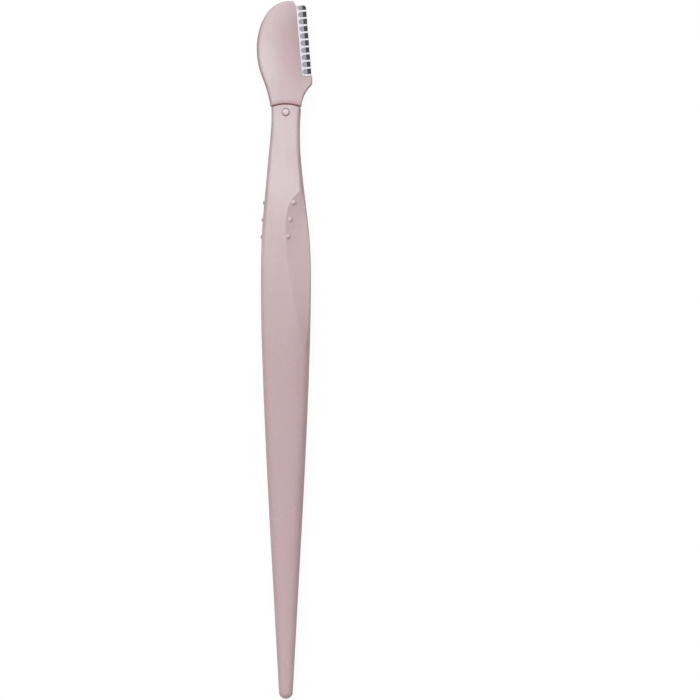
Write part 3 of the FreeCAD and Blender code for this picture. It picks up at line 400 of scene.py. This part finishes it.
def handle_pink():
    """Painted light and shade: a sheen lightest at the neck, shade darkening from the belly to the tail, in
    the thumb rest, on the shaft's side and along the neck's edges, light walls in the nub's window, and a
    highlight under the seam.
    """
    material, tree, moulding, seam_reach = pink_plastic("handle_pink")
    place = split(tree, object_place(tree))
    across, along = place["X"], place["Y"]
    off_axis = math_node(tree, "ABSOLUTE", across)

    # Painted sheen at the neck and painted shade towards the tail
    neck_sheen = remap(tree, along, *NECK_SHEEN, 0.0, NECK_SHEEN_SHARE)
    tail_shade = remap(tree, along, *TAIL_SHADE)
    body = mix_colour(tree, neck_sheen, mix_colour(tree, tail_shade, PINK, PINK_DEEP), PINK_PALE)

    # Painted shade in the thumb rest
    hollow = remap(tree, facing(tree, "X"), *REST_FACING)
    slanted = math_node(tree, "SUBTRACT", along, multiply(tree, across, REST_SLANT))
    rest_below = remap(tree, slanted, *REST_BELOW, 0.0, REST_SHADE_SHARE)
    rest_above = remap(tree, along, *REST_ABOVE)
    body = mix_colour(tree, multiply(tree, hollow, rest_below, rest_above), body, PINK_SHADE)

    # Painted shade on the shaft's right side, away from the light
    shaft_side_shade = multiply(tree, remap(tree, across, *SHAFT_SIDE), remap(tree, along, *SHAFT_START))
    body = mix_colour(tree, shaft_side_shade, body, PINK_SHADE)

    off_middle = remap(tree, off_axis, *NECK_OFF_MIDDLE)
    on_neck = multiply(tree, off_middle, remap(tree, along, *NECK_START))
    # Painted shade in bands along the neck's rounded edges
    rolled = use_group(tree, ROLLED_EDGE, {"Reach": ROLL_REACH}).outputs["Mask"]
    by_side = remap(tree, across, *NECK_ACROSS, *NECK_EDGE_SHADE_SHARES)
    body = mix_colour(tree, multiply(tree, rolled, by_side, on_neck), body, PINK_EDGE_SHADE)

    # Painted light on the window's walls around the nub
    wall = remap(tree, math_node(tree, "ABSOLUTE", facing(tree, "Z")), *WALL_FACING)
    in_middle = remap(tree, off_middle, *WINDOW_MIDDLE)
    window_below = remap(tree, along, *WINDOW_BELOW)
    window_above = remap(tree, along, *WINDOW_ABOVE)
    window_wall_light = multiply(tree, wall, in_middle, window_below, window_above)
    body = mix_colour(tree, window_wall_light, body, NUB_WALL_LIGHT)

    # Painted highlight on the neck's rim under the seam
    rim = remap(tree, seam_reach, *RIM_REACH, 0.0, RIM_HIGHLIGHT_SHARE)
    tone = mix_colour(tree, rim, body, PINK_FLECK)

    # Painted edge shade, left off a strip down the neck's middle and faint on the lower shaft
    plain = multiply(tree, remap(tree, off_axis, *PLAIN_STRIP), remap(tree, along, *PLAIN_START))
    outer = remap(tree, plain, 0.0, 1.0, EDGE_SHADE_SHARE, 0.0)
    edge_shade_share = multiply(tree, outer, remap(tree, along, *TAIL_EDGE_SHADE_FADE, 1.0, TAIL_EDGE_SHADE_SHARE))
    fill_inputs(tree, moulding, {"Tone": tone, "Edge Shade Share": edge_shade_share})
    return material


# The head's tones, in millimetres along the blade's axes
BLADE_SHADE = (-11.0, -BLADE_EXPOSURE / MM)
HEEL_SHADE = (-5.0, 2.0)
HEEL_SHADE_SHARE = 0.6
TIP_SHADE = (16.0, 9.0)
TIP_SHADE_SHARE = 0.5
# Painted shade in a band along the head's rounded back edge, fading towards the tip
BACK_BAND = (-5.0, -7.0)
BACK_BAND_SHADE_SHARE = 0.75
TIP_FADE = (9.0, 14.5)
TIP_BAND_SHARE = 0.45
# Painted edge shade on the head, weaker at the tip
HEAD_EDGE_SHADE_SHARE = 0.9
TIP_EDGE_SHADE_SHARE = 0.3

# And in millimetres from the seam
TENON_END = (-0.5, -0.2)
# Painted reddish shade on the head just above the seam
BLUSH_REACH = (0.15, 1.4)
BLUSH_SHARE = 0.8
BAND_START = (0.2, 1.2)


def head_pink():
    """Deeper towards the blade, with painted shade along the back and on the edges, and painted reddish shade
    along the seam.
    """
    material, tree, moulding, seam_reach = pink_plastic("head_pink")
    axes = use_group(tree, BLADE_AXES).outputs
    near_blade = remap(tree, axes["Out"], *BLADE_SHADE)
    past_heel = remap(tree, axes["Along"], *HEEL_SHADE, HEEL_SHADE_SHARE, 1.0)
    before_tip = remap(tree, axes["Along"], *TIP_SHADE, TIP_SHADE_SHARE, 1.0)
    body = mix_colour(tree, multiply(tree, near_blade, past_heel, before_tip), PINK_PALE, PINK_DEEP)

    # Painted shade in a band along the head's rounded back edge
    rolled = use_group(tree, ROLLED_EDGE, {"Reach": ROLL_REACH}).outputs["Mask"]
    on_back = remap(tree, axes["Out"], *BACK_BAND)
    off_seam = remap(tree, seam_reach, *BAND_START, 0.0, BACK_BAND_SHADE_SHARE)
    band_fade = remap(tree, axes["Along"], *TIP_FADE, 1.0, TIP_BAND_SHARE)
    body = mix_colour(tree, multiply(tree, rolled, on_back, off_seam, band_fade), body, HEAD_EDGE_SHADE)

    # Painted reddish shade on the head just above the seam
    off_tenon = remap(tree, seam_reach, *TENON_END)
    seam_blush_shade = multiply(tree, off_tenon, remap(tree, seam_reach, *BLUSH_REACH, BLUSH_SHARE, 0.0))
    tone = mix_colour(tree, seam_blush_shade, body, SEAM_BLUSH_SHADE)
    # Painted edge shade on the head, weaker at the tip
    edge_shade_share = remap(tree, axes["Along"], *TIP_FADE, HEAD_EDGE_SHADE_SHARE, TIP_EDGE_SHADE_SHARE)
    fill_inputs(tree, moulding, {"Tone": tone, "Edge Shade Share": edge_shade_share, "Edge Shade Tone": HEAD_EDGE_SHADE})
    return material


# Painted light on the nub's upper wall, painted shade on its lower flank
NUB_WALL_FACING = (0.45, 0.25)
NUB_UPPER = (-0.2, 0.4)
NUB_LOWER = (0.15, -0.45)
NUB_LOWER_SHADE_SHARE = 0.85


def tongue_pink():
    """Nub painted light as a highlight, with painted shade on its lower flank and painted light on its wall
    towards the seam.
    """
    material, tree, moulding, _ = pink_plastic("tongue_pink")
    uphill = facing(tree, "Y")
    wall = remap(tree, math_node(tree, "ABSOLUTE", facing(tree, "Z")), *NUB_WALL_FACING)
    # Painted light on the nub's upper wall
    upper_wall_light = multiply(tree, wall, remap(tree, uphill, *NUB_UPPER))
    tone = mix_colour(tree, upper_wall_light, PINK_NUB_HIGHLIGHT, NUB_WALL_LIGHT)
    # Painted shade on the nub's lower flank
    edge_shade_share = remap(tree, uphill, *NUB_LOWER, 0.0, NUB_LOWER_SHADE_SHARE)
    fill_inputs(tree, moulding, {"Tone": tone, "Edge Shade Share": edge_shade_share, "Edge Shade Tone": PINK_SHADE})
    return material


# Finishes in metal

LINE_STRENGTH = 0.2
LINE_DEPTH = 0.004 * MM
LINE_LIMITS = (0.3, 0.7)
# Painted glint along the grinding lines
LINE_PAINTED_GLINT = 0.10
STEEL_ROUGHNESS = (0.26, 0.40)
BEVEL_START = (-BEVEL_WIDTH / MM - 0.05, -BEVEL_WIDTH / MM + 0.05)
MARK_SCALE = 1900.0
MARK_TONE_LIMITS = (0.50, 0.75)
MARK_LIMITS = (0.35, 0.70)
FOIL_ROUGHNESS = (0.30, 0.44)


def lined_metal(name):
    """Metal with fine lines, its tone and roughness left open, with the blade's axes."""
    material, tree, shader = new_material(name)
    axes = use_group(tree, BLADE_AXES).outputs
    relief = {"Height": axes["Lines"], "Strength": LINE_STRENGTH, "Distance": LINE_DEPTH}
    bump = add_node(tree, "ShaderNodeBump", relief)
    fill_inputs(tree, shader, {"Normal": bump.outputs["Normal"], "Metallic": 1.0})
    return material, tree, shader, axes


def ground_steel():
    """Blade steel: a satin flat and a polished bevel coloured dark as a painted reflection, both with
    grinding lines and a painted glint along them.
    """
    material, tree, shader, axes = lined_metal("blade_steel_ground")
    # Painted reflection: the bevel is coloured dark for the dark surroundings it mirrors
    tone = mix_colour(tree, remap(tree, axes["Out"], *BEVEL_START), STEEL, STEEL_BEVEL_DARK_REFLECTION)
    # Painted glint: the grinding lines mixed towards white
    tone = mix_colour(tree, multiply(tree, axes["Lines"], LINE_PAINTED_GLINT), tone, WHITE)
    roughness = remap(tree, axes["Lines"], *LINE_LIMITS, *STEEL_ROUGHNESS)
    fill_inputs(tree, shader, {"Base Color": tone, "Roughness": roughness})
    return material


def bright_foil():
    """Rolled guard foil: bright, with fine rolling lines and small dull marks."""
    material, tree, shader, _ = lined_metal("guard_foil_bright")
    marks = noise(tree, object_place(tree), MARK_SCALE, detail=4.0)
    tone = mix_colour(tree, remap(tree, marks, *MARK_TONE_LIMITS), FOIL, FOIL_WORN)
    roughness = remap(tree, marks, *MARK_LIMITS, *FOIL_ROUGHNESS)
    fill_inputs(tree, shader, {"Base Color": tone, "Roughness": roughness})
    return material


def finish_node(name, material):
    """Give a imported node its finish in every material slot."""
    for slot in nodes[name].material_slots:
        slot.material = material


finish_node("handle", handle_pink())
finish_node("blade_head", head_pink())
finish_node("snap_tongue", tongue_pink())
finish_node("blade", ground_steel())
finish_node("blade_guard", bright_foil())


# Studio

FLOOR_SIZE = 4.0
FLOOR_ROUGHNESS = 0.9
BACKDROP_GLOW = 1.045
BACKDROP_SHARE = 0.9


def make_floor():
    """A white sweep that keeps a soft shadow."""
    bpy.ops.mesh.primitive_plane_add(size=FLOOR_SIZE, location=(0.0, 0.0, 0.0))
    floor = bpy.context.object
    floor.name = "floor"
    material, tree, shader = new_material("floor_white")
    fill_inputs(tree, shader, {"Base Color": FLOOR_GREY, "Roughness": FLOOR_ROUGHNESS})
    glow = add_node(tree, "ShaderNodeEmission", {"Color": WHITE, "Strength": BACKDROP_GLOW})
    share = multiply(tree, seen_as_backdrop(tree), BACKDROP_SHARE)
    mixed = add_node(
        tree, "ShaderNodeMixShader", {0: share, 1: shader.outputs["BSDF"], 2: glow.outputs["Emission"]}
    )
    fill_inputs(tree, tree.nodes["Material Output"], {"Surface": mixed.outputs["Shader"]})
    floor.data.materials.append(material)


DOME_AXIS = Vector((-0.14, 0.36, 0.92)).normalized()
DOME_LEVEL = 2.05
BACKDROP_LEVEL = 1.0


def make_world():
    """A soft dome of light, brightest over the razor's head, and white where it is seen or reflected."""
    world = bpy.data.worlds.new("studio")
    world.use_nodes = True
    tree = world.node_tree
    way = add_node(tree, "ShaderNodeTexCoord").outputs["Generated"]
    height = add_node(tree, "ShaderNodeVectorMath", {0: way, 1: DOME_AXIS}, operation="DOT_PRODUCT")
    above = math_node(tree, "MAXIMUM", height.outputs["Value"], 0.0)
    glow = multiply(tree, above, above, DOME_LEVEL)
    shown = {"Factor": seen_as_backdrop(tree), "A": glow, "B": BACKDROP_LEVEL}
    level = add_node(tree, "ShaderNodeMix", shown).outputs["Result"]
    fill_inputs(tree, tree.nodes["Background"], {"Color": WHITE, "Strength": level})
    bpy.context.scene.world = world


KEY_PLACE = Vector((-0.10, 0.55, 0.60))
KEY_WIDTH = 0.30
KEY_POWER = 1.0


def make_key_softbox():
    """A softbox beyond the head, turned to the middle of the frame."""
    lamp = bpy.data.lights.new("key_softbox", "AREA")
    lamp.shape = "SQUARE"
    lamp.size = KEY_WIDTH
    lamp.energy = KEY_POWER
    box = bpy.data.objects.new("key_softbox", lamp)
    box.location = KEY_PLACE
    box.rotation_euler = (-KEY_PLACE).to_track_quat("-Z", "Y").to_euler()
    bpy.context.scene.collection.objects.link(box)


VIEW_CENTRE = Vector((13.775 * MM, -10.745 * MM, MIDDLE_Z))
VIEW_WIDTH = 150.43 * MM
LENS = 200.0
SENSOR = 36.0


def make_camera():
    """Straight down on the razor through a long lens, the head at the top."""
    camera = bpy.data.cameras.new("camera")
    camera.lens = LENS
    camera.sensor_width = SENSOR
    eye = bpy.data.objects.new("camera", camera)
    eye.location = VIEW_CENTRE + Vector((0, 0, VIEW_WIDTH * LENS / SENSOR))
    bpy.context.scene.collection.objects.link(eye)
    bpy.context.scene.camera = eye


make_floor()
make_world()
make_key_softbox()
make_camera()
bpy.context.scene.view_settings.view_transform = "Standard"
